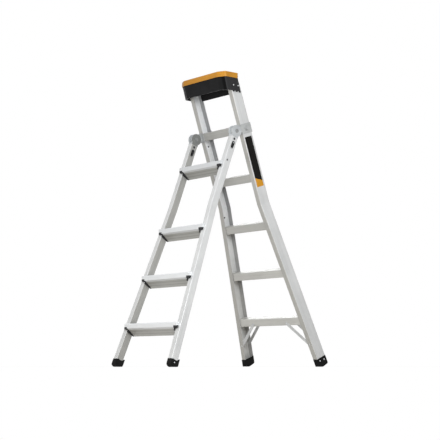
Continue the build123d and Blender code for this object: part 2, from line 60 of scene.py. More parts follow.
# %% Camera
picture_px = 440
focal_px = 1274.8
bearing = radians(50.95)
distance = 7.137
lift = radians(6.448)
lens_height = 0.015
middle_y = 0.0180
sight_limit = 60

lens = bpy.data.cameras.new("camera")
lens.sensor_width = 36
lens.lens = lens.sensor_width * focal_px / picture_px
lens.clip_end = sight_limit
camera = bpy.data.objects.new("camera", lens)
camera.location = (distance * sin(bearing), middle_y - distance * cos(bearing), lens_height)
camera.rotation_euler = (radians(90) + lift, 0, bearing)
scene.collection.objects.link(camera)
scene.camera = camera
scene.view_settings.view_transform = "Standard"
print("lens", round(lens.lens, 1), "mm at", [round(value, 2) for value in camera.location])

# %% [markdown]
# Shaders are trees of nodes. Typing out every node with its settings and links takes many lines, so
# three small helpers come first: one adds a node and sets its inputs, one starts a node group with
# named sockets, and one places a group in a material. A value that is itself a socket is linked, and
# any other value is stored in the input.

# %% Node helpers
def add_node(tree, kind, inputs=None, **settings):
    """Adds a node, sets its properties, and stores or links its inputs by name or number."""
    made = tree.nodes.new(kind)
    for key, value in settings.items():
        setattr(made, key, value)
    for key, value in (inputs or {}).items():
        if isinstance(value, bpy.types.NodeSocket):
            tree.links.new(value, made.inputs[key])
        else:
            made.inputs[key].default_value = value
    return made


def start_group(name, inputs, outputs):
    """Starts a shader group; inputs are (name, socket kind, default), outputs (name, socket kind)."""
    tree = bpy.data.node_groups.new(name, "ShaderNodeTree")
    for label, kind, value in inputs:
        socket = tree.interface.new_socket(name=label, in_out="INPUT", socket_type=kind)
        if value is not None:
            socket.default_value = value
    for label, kind in outputs:
        tree.interface.new_socket(name=label, in_out="OUTPUT", socket_type=kind)
    return tree, tree.nodes.new("NodeGroupInput").outputs, tree.nodes.new("NodeGroupOutput").inputs


def place_group(tree, group, inputs):
    """Places a group in a tree and gives its outputs."""
    return add_node(tree, "ShaderNodeGroup", node_tree=group, inputs=inputs).outputs


FLOAT, VECTOR, COLOUR = "NodeSocketFloat", "NodeSocketVector", "NodeSocketColor"
print("node helpers ready")

# %% [markdown]
# A few kinds of node come back in almost every finish: sums and products, a value moved from one
# range to another, a point taken apart into X, Y and Z, a noise, and a colour between two colours.
# Each gets a short function that gives the output socket, so that it can be put straight into the
# next node.

# %% Short forms of common nodes
def calc(tree, operation, first, second=0.0):
    """Sum, product or another operation on two values."""
    return add_node(tree, "ShaderNodeMath", {0: first, 1: second}, operation=operation).outputs[0]


def remap(tree, value, low, high, first=0.0, last=1.0, **settings):
    """Value from first to last, as another goes from low to high."""
    inputs = {0: value, 1: low, 2: high, 3: first, 4: last}
    return add_node(tree, "ShaderNodeMapRange", inputs, **settings).outputs[0]


def split(tree, vector):
    """Outputs X, Y and Z of a vector."""
    return add_node(tree, "ShaderNodeSeparateXYZ", {0: vector}).outputs


def noise(tree, vector, scale, detail=2.0, roughness=0.5):
    """Soft noise whose features are about 1/scale wide."""
    inputs = {"Vector": vector, "Scale": scale, "Detail": detail, "Roughness": roughness}
    return add_node(tree, "ShaderNodeTexNoise", inputs).outputs["Fac"]


def blend(tree, factor, first, second, kind="MIX"):
    """Colour between two colours, or the first one changed by the second."""
    inputs = {0: factor, 6: first, 7: second}
    return add_node(tree, "ShaderNodeMix", inputs, data_type="RGBA", blend_type=kind).outputs[2]


def seen_directly(tree):
    """One for rays from the camera, from mirrors and through glass, and zero for scattered light."""
    path = tree.nodes.new("ShaderNodeLightPath").outputs
    seen = calc(tree, "MAXIMUM", path["Is Camera Ray"], path["Is Glossy Ray"])
    return calc(tree, "MAXIMUM", seen, path["Is Transmission Ray"])


print("short forms ready")

# %% [markdown]
# A product photograph has a white background. The world is white to the eye and to reflections, and
# weaker and a little warm as a source of light. Light Path can tell these rays apart, so the
# background needs no stronger light on the ladder.

# %% World
white, warm_white = (1, 1, 1, 1), (1, 0.97, 0.92, 1)
ambient = 0.25
world = bpy.data.worlds.new("studio")
scene.world = world
world.use_nodes = True
tree = world.node_tree
tree.nodes.clear()
seen = seen_directly(tree)
level = calc(tree, "ADD", calc(tree, "MULTIPLY", seen, 1 - ambient), ambient)
tint = blend(tree, seen, warm_white, white)
sky = add_node(tree, "ShaderNodeBackground", {"Color": tint, "Strength": level})
add_node(tree, "ShaderNodeOutputWorld", {"Surface": sky.outputs[0]})
print("world", world.name, "gives", ambient, "of its light")

# %% [markdown]
# Soft light comes from a few big lamps. Four area lamps model the form: a key from the right lights
# the rail webs, a softer fill stands low in front, where a white floor would throw light back, one
# hangs overhead, and one lights the sides that the camera doesn't see.

# %% Lamps
def add_lamp(name, place, aim, size, watts, colour):
    """Round area lamp at a place, turned to its aim."""
    data = bpy.data.lights.new(name, "AREA")
    data.shape = "DISK"
    data.size = size
    data.energy = watts
    data.color = colour
    lamp = bpy.data.objects.new(name, data)
    lamp.location = place
    lamp.rotation_euler = (Vector(aim) - Vector(place)).to_track_quat("-Z", "Y").to_euler()
    scene.collection.objects.link(lamp)
    print("lamp", name, watts, "W")


cool_light, warm_light = (0.96, 0.985, 1), (1, 0.98, 0.94)
add_lamp("key", (2.2, -1.45, 1.4), aim=(0, 0, 0.7), size=1.4, watts=58, colour=cool_light)
add_lamp("fill", (-0.5, -2.5, 0.4), aim=(0, 0, 0.2), size=1.6, watts=13, colour=warm_light)
add_lamp("overhead", (0.3, -1.6, 3.6), aim=(0, 0, 0.8), size=1.8, watts=24, colour=cool_light)
add_lamp("back", (-2.0, 2.3, 1.8), aim=(0, 0, 0.8), size=1.8, watts=30, colour=cool_light)

# %% [markdown]
# The floor is a plain pale sheet just under the soles. To the camera it glows almost white, so that
# it melts into the background, and the rest of its brightness is real, so a faint shadow stays under
# the feet. The glow reaches its full strength some way out from the ladder.

# %% Floor
floor_reach, below_soles = 10, 0.0004
floor_lit, floor_seen = (0.50, 0.47, 0.42, 1), (0.96, 0.96, 0.96, 1)
fade_start, fade_end = 0.8, 2.4
glow_near, glow_far = 0.93, 1.0

sheet = bpy.data.meshes.new("floor")
work = bmesh.new()
bmesh.ops.create_grid(work, x_segments=1, y_segments=1, size=floor_reach)
bmesh.ops.translate(work, verts=work.verts, vec=(0, 0, -below_soles))
work.to_mesh(sheet)
work.free()
floor = bpy.data.objects.new("floor", sheet)
scene.collection.objects.link(floor)

pale = bpy.data.materials.new("floor_pale")
pale.use_nodes = True
tree = pale.node_tree
tree.nodes.clear()
seen = seen_directly(tree)
sheet_colour = blend(tree, seen, floor_lit, floor_seen)
matt = add_node(tree, "ShaderNodeBsdfDiffuse", {"Color": sheet_colour})
glow = add_node(tree, "ShaderNodeEmission", {"Color": white, "Strength": 1.0})
spot = tree.nodes.new("ShaderNodeTexCoord").outputs["Object"]
away = add_node(tree, "ShaderNodeVectorMath", {0: spot}, operation="LENGTH").outputs["Value"]
fade = remap(
    tree, away, fade_start, fade_end, glow_near, glow_far, interpolation_type="SMOOTHSTEP"
)
share = calc(tree, "MULTIPLY", seen, fade)
surface = add_node(tree, "ShaderNodeMixShader", {0: share, 1: matt.outputs[0], 2: glow.outputs[0]})
add_node(tree, "ShaderNodeOutputMaterial", {"Surface": surface.outputs[0]})
sheet.materials.append(pale)
print("floor", tuple(round(value, 1) for value in floor.dimensions))

# %% [markdown]
# Extruded aluminium shows fine lines along its length, where the die has drawn them. On a straight
# bar one could stretch a noise along one axis. These rails lean and bend, so a group first
# straightens the coordinates: it takes off the part of the width that the flare adds below the bend.
# The lines then follow the metal round the bend.

# %% Group: coordinates along a bent rail
rail_flow, given, result = start_group(
    "rail_flow",
    [("Vector", VECTOR, None), ("Bend", FLOAT, 0.8), ("Slope", FLOAT, 0.1)],
    [("Vector", VECTOR)],
)
axes = split(rail_flow, given["Vector"])
below = calc(rail_flow, "SUBTRACT", given["Bend"], axes["Z"])
below = calc(rail_flow, "MAXIMUM", below, 0.0)
spread = calc(rail_flow, "MULTIPLY", below, given["Slope"])
across = calc(rail_flow, "SUBTRACT", calc(rail_flow, "ABSOLUTE", axes["X"]), spread)
straight = add_node(rail_flow, "ShaderNodeCombineXYZ", {0: across, 1: axes["Y"], 2: axes["Z"]})
rail_flow.links.new(straight.outputs[0], result["Vector"])
print("group", rail_flow.name, len(rail_flow.nodes), "nodes")

# %% [markdown]
# The die lines themselves are two noises stretched along Z: hair lines, and broader bands. Their
# mean makes the tone, and the hair lines give a bump its height. Every extruded piece turns its
# length to Z and uses this group.

# %% Group: die lines
die_lines, given, result = start_group(
    "die_lines",
    [("Vector", VECTOR, None), ("Fine", FLOAT, 900.0), ("Broad", FLOAT, 120.0)],
    [("Tone", FLOAT), ("Height", FLOAT)],
)


def stretched_noise(tree, vector, scale, draw, detail):
    """Noise with features about 1/scale wide that run 'draw' times as far along Z."""
    thin = calc(tree, "DIVIDE", scale, draw)
    factors = add_node(tree, "ShaderNodeCombineXYZ", {0: scale, 1: scale, 2: thin}).outputs[0]
    scaled = add_node(tree, "ShaderNodeVectorMath", {0: vector, 1: factors}, operation="MULTIPLY")
    return noise(tree, scaled.outputs[0], 1.0, detail)


hair = stretched_noise(die_lines, given["Vector"], given["Fine"], draw=160.0, detail=3.0)
bands = stretched_noise(die_lines, given["Vector"], given["Broad"], draw=60.0, detail=2.0)
tone = calc(die_lines, "MULTIPLY", calc(die_lines, "ADD", hair, bands), 0.5)
die_lines.links.new(tone, result["Tone"])
die_lines.links.new(hair, result["Height"])
print("group", die_lines.name, len(die_lines.nodes), "nodes")

# %% [markdown]
# A used or stored ladder is never quite even. One group makes a soft mottle for every finish: large
# pale and dark clouds for handling marks, and small flecks for scuffs. The clouds and flecks come
# out as two masks, and each material decides how strongly they count.

# %% Group: handling marks
fleck_starts, fleck_full = 0.60, 0.72
handling, given, result = start_group(
    "handling",
    [("Vector", VECTOR, None), ("Clouds", FLOAT, 7.0), ("Flecks", FLOAT, 90.0)],
    [("Clouds", FLOAT), ("Flecks", FLOAT)],
)
cloud = noise(handling, given["Vector"], given["Clouds"], detail=4.0, roughness=0.6)
fleck = noise(handling, given["Vector"], given["Flecks"], detail=5.0, roughness=0.7)
handling.links.new(cloud, result["Clouds"])
handling.links.new(remap(handling, fleck, fleck_starts, fleck_full), result["Flecks"])
print("group", handling.name, len(handling.nodes), "nodes")

# %% [markdown]
# Moulded plastic, rubber and castings have a grain all over: the eroded skin of the mould, or sand.
# A fine cellular texture with a fine noise added gives it. It is only a height here, because the
# colour of such parts hardly changes.

# %% Group: moulded grain
dust_finer, dust_share = 2.0, 0.5
grain, given, result = start_group(
    "moulded_grain",
    [("Vector", VECTOR, None), ("Scale", FLOAT, 700.0)],
    [("Height", FLOAT)],
)
cells = add_node(
    grain, "ShaderNodeTexVoronoi", {"Vector": given["Vector"], "Scale": given["Scale"]},
    feature="SMOOTH_F1",
)
dust = noise(grain, given["Vector"], calc(grain, "MULTIPLY", given["Scale"], dust_finer))
fine = calc(grain, "MULTIPLY", dust, dust_share)
grain.links.new(calc(grain, "ADD", cells.outputs["Distance"], fine), result["Height"])
print("group", grain.name, len(grain.nodes), "nodes")

# %% [markdown]
# The walls of one profile get painted light or shade of their own: the inside of a rear web is painted
# brighter and flanges and inner faces darker. A flat wall can be told apart by one coordinate alone,
# because all its points have the same value there. The group compares that coordinate with the wall's
# place and multiplies the colour on that wall only, which paints the light or shade there.

# %% Group: painted light and shade of one wall
wall_core, wall_edge = 0.0007, 0.0014
painted_wall_shading, given, result = start_group(
    "painted_wall_shading",
    [
        ("Colour", COLOUR, None), ("Coordinate", FLOAT, 0.0), ("Place", FLOAT, 0.0),
        ("Tone", COLOUR, white),
    ],
    [("Colour", COLOUR)],
)
# Multiplies the colour on one wall only: painted light or painted shade.
apart = calc(painted_wall_shading, "SUBTRACT", given["Coordinate"], given["Place"])
apart = calc(painted_wall_shading, "ABSOLUTE", apart)
mask = remap(painted_wall_shading, apart, wall_edge, wall_core)
toned = blend(painted_wall_shading, mask, given["Colour"], given["Tone"], "MULTIPLY")
painted_wall_shading.links.new(toned, result["Colour"])
print("group", painted_wall_shading.name, len(painted_wall_shading.nodes), "nodes")

# %% [markdown]
# Painted light and shade also change with height: the lower rungs and treads are painted lighter and
# the upper ones darker, and the painted tones of the rail walls change from bottom to top. This group
# turns the height of a point into a tone between a low one and a high one.

# %% Group: painted light and shade by height
low_height, high_height = 0.4, 1.0
painted_height_shading, given, result = start_group(
    "painted_height_shading",
    [("Vector", VECTOR, None), ("Low", COLOUR, white), ("High", COLOUR, white)],
    [("Tone", COLOUR)],
)
# The painted light or shade follows the height of the point.
rise = remap(painted_height_shading, split(painted_height_shading, given["Vector"])["Z"], low_height, high_height)
painted_height_shading.links.new(blend(painted_height_shading, rise, given["Low"], given["High"]), result["Tone"])
print("group", painted_height_shading.name, len(painted_height_shading.nodes), "nodes")

# %% [markdown]
# Every finish starts in the same way: a Principled shader, its output, and the point's own place in
# the ladder. Object coordinates are used throughout, because all pieces sit at the origin and the
# pattern then runs on from one piece to the next. The other helpers open a finish again, colour a
# mask, and paint light and shade onto a colour by height.

# %% Material helpers
def start_material(name):
    """New material, with its tree, its shader and the point that is shaded."""
    made = bpy.data.materials.new(name)
    made.use_nodes = True
    tree = made.node_tree
    tree.nodes.clear()
    shader = tree.nodes.new("ShaderNodeBsdfPrincipled")
    add_node(tree, "ShaderNodeOutputMaterial", {"Surface": shader.outputs[0]})
    spot = tree.nodes.new("ShaderNodeTexCoord").outputs["Object"]
    return made, tree, shader, spot


def reopen(material):
    """Tree and shader of a finish, the point that is shaded, and the colour so far."""
    tree = material.node_tree
    shader = next(item for item in tree.nodes if item.type == "BSDF_PRINCIPLED")
    spot = next(item for item in tree.nodes if item.type == "TEX_COORD").outputs["Object"]
    return tree, shader, spot, shader.inputs["Base Color"].links[0].from_socket


def ramp(tree, factor, dark, light, low, high):
    """Colour from dark to light, as the factor goes from low to high."""
    made = tree.nodes.new("ShaderNodeValToRGB")
    made.color_ramp.elements[0].position = low
    made.color_ramp.elements[0].color = (*dark, 1)
    made.color_ramp.elements[1].position = high
    made.color_ramp.elements[1].color = (*light, 1)
    tree.links.new(factor, made.inputs[0])
    return made.outputs["Color"]


def by_height(tree, spot, low, high):
    """Painted light or shade that goes from low near the floor to high at the upper rungs."""
    inputs = {"Vector": spot, "Low": (*low, 1), "High": (*high, 1)}
    return place_group(tree, painted_height_shading, inputs)[0]


def shade_finish_by_height(material, low, high):
    """Multiplies the colour of a finish by a brightness that changes with height: painted light and
    shade.
    """
    tree, shader, spot, plain = reopen(material)
    height_shaded = blend(tree, 1.0, plain, by_height(tree, spot, (low,) * 3, (high,) * 3), "MULTIPLY")
    tree.links.new(height_shaded, shader.inputs["Base Color"])


print("groups to build finishes from", [group.name for group in bpy.data.node_groups])

# %% [markdown]
# The aluminium is satin: it is bright where the light falls on it and grey where it turns away, so
# it is only partly metallic with a wide highlight. One function makes each extruded finish. It is
# told how to turn the piece's length to Z and, for the rails, where the bend is and which walls get
# painted light or shade of their own. The lines change the colour and the roughness a little.

# %% Extruded aluminium
satin_rough, satin_metal = (0.34, 0.5), 0.22
line_share, cloud_share, fleck_share = 0.55, 0.45, 0.35
shade_low, shade_high = 0.34, 0.66
rub_low, rub_high = 0.3, 0.8
line_strength, line_depth = 0.05, 0.0004


def extruded(name, dark, light, turn, bend=None, walls=()):
    """Satin finish; bend is (height, slope); a wall of painted light is (axis, place, low tone, high
    tone).
    """
    made, tree, shader, spot = start_material(name)
    along = add_node(tree, "ShaderNodeMapping", {"Vector": spot, "Rotation": turn}).outputs[0]
    if bend:
        along = place_group(tree, rail_flow, {"Vector": along, "Bend": bend[0], "Slope": bend[1]})[0]
    drawn = place_group(tree, die_lines, {"Vector": along})
    marks = place_group(tree, handling, {"Vector": spot})
    clouds = calc(tree, "MULTIPLY", marks["Clouds"], cloud_share)
    shade = calc(tree, "ADD", calc(tree, "MULTIPLY", drawn["Tone"], line_share), clouds)
    colour = ramp(tree, shade, dark, light, shade_low, shade_high)
    axes = split(tree, along)
    # Each wall gets painted light or painted shade on top of the die lines.
    for axis, place, low, high in walls:
        wall = {"Colour": colour, "Coordinate": axes[axis], "Place": place}
        wall["Tone"] = by_height(tree, spot, low, high)
        colour = place_group(tree, painted_wall_shading, wall)[0]
    tree.links.new(colour, shader.inputs["Base Color"])
    rub = calc(tree, "ADD", shade, calc(tree, "MULTIPLY", marks["Flecks"], fleck_share))
    matt = remap(tree, rub, rub_low, rub_high, *satin_rough)
    tree.links.new(matt, shader.inputs["Roughness"])
    lines = {"Strength": line_strength, "Distance": line_depth, "Height": drawn["Height"]}
    tree.links.new(add_node(tree, "ShaderNodeBump", lines).outputs[0], shader.inputs["Normal"])
    shader.inputs["Metallic"].default_value = satin_metal
    return made


finish = {}
print("extruded finish is", satin_metal, "metallic")

# %% [markdown]
# The rails need the sizes of the ladder: how far each section leans, how far it flares, and where
# its walls lie once the coordinates are straight. In a rear rail the inside of the web is painted
# brightest, with painted light, the front flange is painted duller and the inside of the back flange
# darkest, with painted shade. The inner side of a front rail is painted duller too, with painted
# shade.
# Rungs and treads lie across the ladder, so a quarter turn about Y brings their length to Z.

# %% Rails, rungs and treads
rear_lean, front_lean = radians(18.6), radians(20.6)
rear_flare, front_flare = radians(8.7), radians(4.3)
rear_bend, front_bend = 0.8067, 0.7575
rear_floor_y, front_floor_y = 0.4651, -0.5329
rear_half, rear_depth, rail_wall = 0.187, 0.066, 0.0025
front_inner = 0.1639
rear_face = rear_floor_y * cos(rear_lean)
rail_dark, rail_light = (0.56, 0.565, 0.57), (0.72, 0.725, 0.73)
inner_shade = (0.60, 0.59, 0.56)
lengthwise = (0, radians(90), 0)

finish["rear_rail"] = extruded(
    "rear_rail_aluminium", rail_dark, rail_light, (-rear_lean, 0, 0),
    bend=(rear_bend, tan(rear_flare)),
    # Painted light on the inside of the web, painted shade on the front and back flanges.
    walls=(
        ("X", rear_half - rail_wall, (1.02, 1.01, 0.98), (1.36, 1.36, 1.36)),
        ("Y", rear_face, (0.74, 0.725, 0.68), (0.74, 0.725, 0.69)),
        ("Y", rear_face + rear_depth - rail_wall, (0.68, 0.67, 0.65), (0.47, 0.47, 0.475)),
    ),
)
finish["front_rail"] = extruded(
    "front_rail_aluminium", rail_dark, rail_light, (front_lean, 0, 0),
    bend=(front_bend, tan(front_flare)),
    # Painted shade on the inner side of the front rail.
    walls=(("X", front_inner, inner_shade, inner_shade),),
)
finish["rung"] = extruded("rung_aluminium", (0.48, 0.475, 0.455), (0.60, 0.595, 0.57), lengthwise)
# Painted light on the lower rungs and painted shade on the upper ones.
shade_finish_by_height(finish["rung"], low=1.15, high=0.82)
# The tread's colour is painted darker than the rails', as painted shade on its underside.
finish["tread"] = extruded("tread_aluminium", (0.40, 0.40, 0.385), (0.52, 0.52, 0.50), lengthwise)
print("extruded finishes", sorted(finish))

# %% [markdown]
# A tread is one extrusion, but it is painted differently in its zones: the nosing gets a painted
# highlight, as a rounded nose would catch the light, and underneath the metal is painted darker, with
# two dark stripes of painted shade along it. What tells these zones apart is how far a point lies
# behind the front faces of the rails, which lean. The depth is Y less the lean times Z, and it is the
# same for every tread.

# %% Group: zones of a tread
nosing_starts, nosing_full = 0.0005, -0.0015
rib_depths, rib_core, rib_edge = (0.012, 0.031), 0.0014, 0.0026
rib_strength = 0.45
# Painted highlight on the nosing, painted shade in the two stripes underneath.
nosing_highlight, rib_shade = (0.72, 0.735, 0.755, 1), (0.16, 0.16, 0.155, 1)

tread_zones, given, result = start_group(
    "tread_zones", [("Vector", VECTOR, None)], [("Nosing", FLOAT), ("Ribs", FLOAT)]
)
axes = split(tread_zones, given["Vector"])
leaning = calc(tread_zones, "MULTIPLY", axes["Z"], tan(front_lean))
from_foot = calc(tread_zones, "SUBTRACT", axes["Y"], front_floor_y)
behind = calc(tread_zones, "SUBTRACT", from_foot, leaning)
ribs = 0.0
for depth in rib_depths:
    apart = calc(tread_zones, "ABSOLUTE", calc(tread_zones, "SUBTRACT", behind, depth))
    ribs = calc(tread_zones, "MAXIMUM", remap(tread_zones, apart, rib_edge, rib_core), ribs)
tread_zones.links.new(remap(tread_zones, behind, nosing_starts, nosing_full), result["Nosing"])
tread_zones.links.new(ribs, result["Ribs"])

# The nosing gets its painted highlight and the stripes their painted shade.
tree, shader, spot, underside_shaded = reopen(finish["tread"])
zones = place_group(tree, tread_zones, {"Vector": spot})
nosing_lit = blend(tree, zones["Nosing"], underside_shaded, nosing_highlight)
rib_shaded = blend(tree, calc(tree, "MULTIPLY", zones["Ribs"], rib_strength), nosing_lit, rib_shade)
tree.links.new(rib_shaded, shader.inputs["Base Color"])
# Painted light on the lower treads and painted shade on the upper ones.
shade_finish_by_height(finish["tread"], low=1.10, high=0.88)
print("group", tread_zones.name, len(tread_zones.nodes), "nodes")

# %% [markdown]
# Castings, plated steel, plastic and rubber have a grainy skin and a blotchy colour. All of them use
# the grain group for their height and the handling group for their colour, so one function serves
# them with different numbers. It can also paint shade on one wall, with the group made for the
# rails.

# %% Grainy finishes
scuffs = 160.0
blotch_low, blotch_high = 0.32, 0.68
scuff_share, scuff_low, scuff_high = 0.3, 0.3, 0.9


def grainy(name, dark, light, rough, metal, skin, clouds=14.0, gloss=0.5, cheek=None):
    """Finish with a skin of (grain scale, strength, depth); a cheek is (place across, painted shade
    tone).
    """
    made, tree, shader, spot = start_material(name)
    scale, strength, depth = skin
    marks = place_group(tree, handling, {"Vector": spot, "Clouds": clouds, "Flecks": scuffs})
    colour = ramp(tree, marks["Clouds"], dark, light, blotch_low, blotch_high)
    # The cheek gets painted shade.
    if cheek:
        place, tone = cheek
        across = calc(tree, "ABSOLUTE", split(tree, spot)["X"])
        wall = {"Colour": colour, "Coordinate": across, "Place": place, "Tone": (*tone, 1)}
        colour = place_group(tree, painted_wall_shading, wall)[0]
    tree.links.new(colour, shader.inputs["Base Color"])
    rub = calc(tree, "ADD", marks["Clouds"], calc(tree, "MULTIPLY", marks["Flecks"], scuff_share))
    matt = remap(tree, rub, scuff_low, scuff_high, *rough)
    tree.links.new(matt, shader.inputs["Roughness"])
    height = place_group(tree, grain, {"Vector": spot, "Scale": scale})["Height"]
    bump = add_node(
        tree, "ShaderNodeBump", {"Strength": strength, "Distance": depth, "Height": height}
    )
    tree.links.new(bump.outputs[0], shader.inputs["Normal"])
    shader.inputs["Metallic"].default_value = metal
    shader.inputs["Specular IOR Level"].default_value = gloss
    return made


print("grainy finishes have scuffs at a scale of", scuffs)

# %% [markdown]
# Collars and hinge heads are castings: greyer than the rails, with a sandy skin. A hinge head's
# inner cheek is painted darker, with painted shade. Straps, pins and bolts are plated steel, smoother,
# with the blotchy bloom of zinc, and the screws are blackened.

# %% Cast and plated metal
cast_skin, plated_skin = (900, 0.25, 0.0006), (1500, 0.08, 0.0003)
cast_rough, cast_metal = (0.42, 0.6), 0.35
# Painted shade on a hinge head's inner cheek.
cheek_place, cheek_shade = 0.164, (0.46, 0.455, 0.43)

finish["casting"] = grainy(
    "casting_grey", (0.40, 0.415, 0.43), (0.55, 0.57, 0.585), cast_rough, cast_metal, cast_skin,
    cheek=(cheek_place, cheek_shade),
)
finish["collar"] = grainy(
    "collar_grey", (0.39, 0.40, 0.40), (0.50, 0.51, 0.51), cast_rough, cast_metal, cast_skin
)
finish["zinc"] = grainy(
    "plated_steel", (0.50, 0.51, 0.52), (0.70, 0.71, 0.72),
    rough=(0.28, 0.46), metal=0.8, skin=plated_skin, clouds=30,
)
finish["pin"] = grainy(
    "pin_steel", (0.22, 0.225, 0.225), (0.32, 0.325, 0.325),
    rough=(0.42, 0.58), metal=0.35, skin=plated_skin, clouds=30,
)
finish["dark"] = grainy(
    "screw_black", (0.025, 0.025, 0.027), (0.05, 0.05, 0.053),
    rough=(0.35, 0.5), metal=0.3, skin=plated_skin, clouds=30,
)
finish["strap"] = grainy(
    "strap_steel", (0.52, 0.525, 0.525), (0.65, 0.655, 0.655),
    rough=(0.35, 0.5), metal=0.55, skin=(1200, 0.1, 0.0003), clouds=20,
)
metals = ("casting", "collar", "zinc", "pin", "dark", "strap")
print("metal finishes", [finish[key].name for key in metals])

# %% [markdown]
# The black parts differ more than they seem to: the tray is moulded with a leathery grain, the boots
# are matt rubber, and the end caps and release slides are smoother. The rim is orange plastic of the
# same family, and the label is a smooth film. Only the grey knobs have a little of a metal's sheen.
# The black is never quite zero, because a real black part still returns a little light.

# %% Plastics and rubber
film_skin, film_rough = (1600, 0.05, 0.0002), (0.3, 0.4)

finish["cap"] = grainy(
    "cap_black", (0.010, 0.010, 0.0105), (0.017, 0.017, 0.018),
    rough=(0.42, 0.56), metal=0, skin=(620, 0.5, 0.0008), clouds=10, gloss=0.05,
)
finish["rim"] = grainy(
    "rim_amber", (0.48, 0.205, 0.018), (0.60, 0.275, 0.028),
    rough=(0.4, 0.55), metal=0, skin=(800, 0.2, 0.0006), clouds=9, gloss=0.3,
)
finish["rubber"] = grainy(
    "boot_rubber", (0.007, 0.007, 0.007), (0.016, 0.016, 0.016),
    rough=(0.6, 0.8), metal=0, skin=(480, 0.4, 0.0009), clouds=18, gloss=0.06,
)
finish["end"] = grainy(
    "end_black", (0.010, 0.010, 0.011), (0.020, 0.020, 0.022),
    rough=(0.45, 0.6), metal=0, skin=(900, 0.25, 0.0005), clouds=16, gloss=0.25,
)
finish["liner"] = grainy(
    "liner_grey", (0.06, 0.06, 0.065), (0.10, 0.10, 0.105),
    rough=(0.4, 0.55), metal=0, skin=(900, 0.2, 0.0005), clouds=16, gloss=0.3,
)
finish["knob"] = grainy(
    "knob_grey", (0.40, 0.41, 0.415), (0.52, 0.53, 0.535),
    rough=(0.4, 0.55), metal=0.2, skin=(800, 0.3, 0.0006), clouds=16,
)
finish["film_black"] = grainy(
    "label_black", (0.007, 0.0065, 0.006), (0.012, 0.011, 0.010),
    film_rough, metal=0, skin=film_skin, clouds=12, gloss=0.05,
)
finish["film_amber"] = grainy(
    "label_amber", (0.60, 0.265, 0.012), (0.68, 0.31, 0.018),
    film_rough, metal=0, skin=film_skin, clouds=12, gloss=0.3,
)
plastics = ("cap", "rim", "rubber", "end", "liner", "knob", "film_black", "film_amber")
print("plastic finishes", [finish[key].name for key in plastics])

# %% [markdown]
# The tray is one moulding, painted in zones: its sides are coarsely grained and painted paler, with
# painted light, its front is smoother, and the slanted corners between them are painted darkest, with
# painted shade. How far a point lies from the middle of the ladder, and how far forward, tells these
# zones apart. The flecks of the handling group make the coarse grain.

# %% Group: zones of the tray
side_starts, side_full = 0.1875, 0.1895
slant_starts, slant_full = 0.168, 0.176
front_starts, front_full = -0.074, -0.080
coarse_scale = 260.0
# Painted light on the sides and painted shade in the slanted corners.
side_lit_dark, side_lit_pale = (0.034, 0.034, 0.036, 1), (0.075, 0.075, 0.078, 1)
corner_shade = (0.0035, 0.0035, 0.0038, 1)

tray_zones, given, result = start_group(
    "tray_zones", [("Vector", VECTOR, None)], [("Side", FLOAT), ("Corner", FLOAT)]
)
axes = split(tray_zones, given["Vector"])
across = calc(tray_zones, "ABSOLUTE", axes["X"])
side_zone = remap(tray_zones, across, side_starts, side_full)
beyond = remap(tray_zones, across, slant_starts, slant_full)
in_front = remap(tray_zones, axes["Y"], front_starts, front_full)
corner_zone = calc(tray_zones, "SUBTRACT", beyond, side_zone)
corner_zone = calc(tray_zones, "MULTIPLY", corner_zone, in_front)
tray_zones.links.new(side_zone, result["Side"])
tray_zones.links.new(corner_zone, result["Corner"])

# The sides get painted light and the slanted corners painted shade.
tree, shader, spot, smooth = reopen(finish["cap"])
zones = place_group(tree, tray_zones, {"Vector": spot})
marks = place_group(tree, handling, {"Vector": spot, "Flecks": coarse_scale})
side_lit = blend(tree, marks["Flecks"], side_lit_dark, side_lit_pale)
sided = blend(tree, zones["Side"], smooth, side_lit)
cornered = blend(tree, zones["Corner"], sided, corner_shade)
tree.links.new(cornered, shader.inputs["Base Color"])
print("group", tray_zones.name, len(tray_zones.nodes), "nodes")

# %% [markdown]
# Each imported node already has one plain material. Replacing what is in its slots keeps the mesh
# untouched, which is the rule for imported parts: their shape belongs to CAD, and only their finish is
# decided here. A node is found by how its name begins, so a longer beginning comes before a shorter
# one.

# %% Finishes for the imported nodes
finish_of = {
    "rear_rail": "rear_rail", "front_rail": "front_rail", "rear_rung": "rung",
    "tread_caps": "end", "tread_": "tread", "brace_rivets": "zinc", "brace_": "strap",
    "rear_foot_rivets": "zinc", "front_foot_rivets": "zinc", "rear_foot": "rubber",
    "front_foot": "rubber", "top_cap": "cap", "cap_rim": "rim", "cap_rivets": "zinc",
    "collar": "collar", "hinge_head": "casting", "slide_liner": "liner", "hinge_pin": "pin",
    "lock_pin": "knob", "head_screws": "dark", "release_slide": "end", "stop_bolt": "zinc",
}
for name, item in nodes.items():
    key = next(start for start in finish_of if name.startswith(start))
    for slot in item.material_slots:
        slot.material = finish[finish_of[key]]
    print(name, "->", finish[finish_of[key]].name)

# %% [markdown]
# New pieces are easiest to place in the terms a ladder maker would use: how far up along the rail
# from the floor, and how far behind the rails' front faces. Two small functions turn that into
# points of the scene, one for each section.

# %% Places on the ladder
def on_rear(across, behind, up):
    """Point of the section with rungs: up along its rails, and behind their front faces."""
    return Vector((
        across,
        rear_floor_y + behind * cos(rear_lean) - up * sin(rear_lean),
        behind * sin(rear_lean) + up * cos(rear_lean),
    ))


def on_front(across, behind, up):
    """The same for the section with treads."""
    return Vector((
        across,
        front_floor_y + behind * cos(front_lean) + up * sin(front_lean),
        up * cos(front_lean) - behind * sin(front_lean),
    ))


sides = ((1, "right"), (-1, "left"))
print("a metre up the rear rails", [round(value, 3) for value in on_rear(0, 0, 1)])

# %% [markdown]
# A bmesh becomes a piece of the ladder when it is an object that rides on a body of the packed
# model. Its place is in the mesh, so the object itself stays at the origin. The piece gets its finish
# and hides the imported node that it stands for, if any.

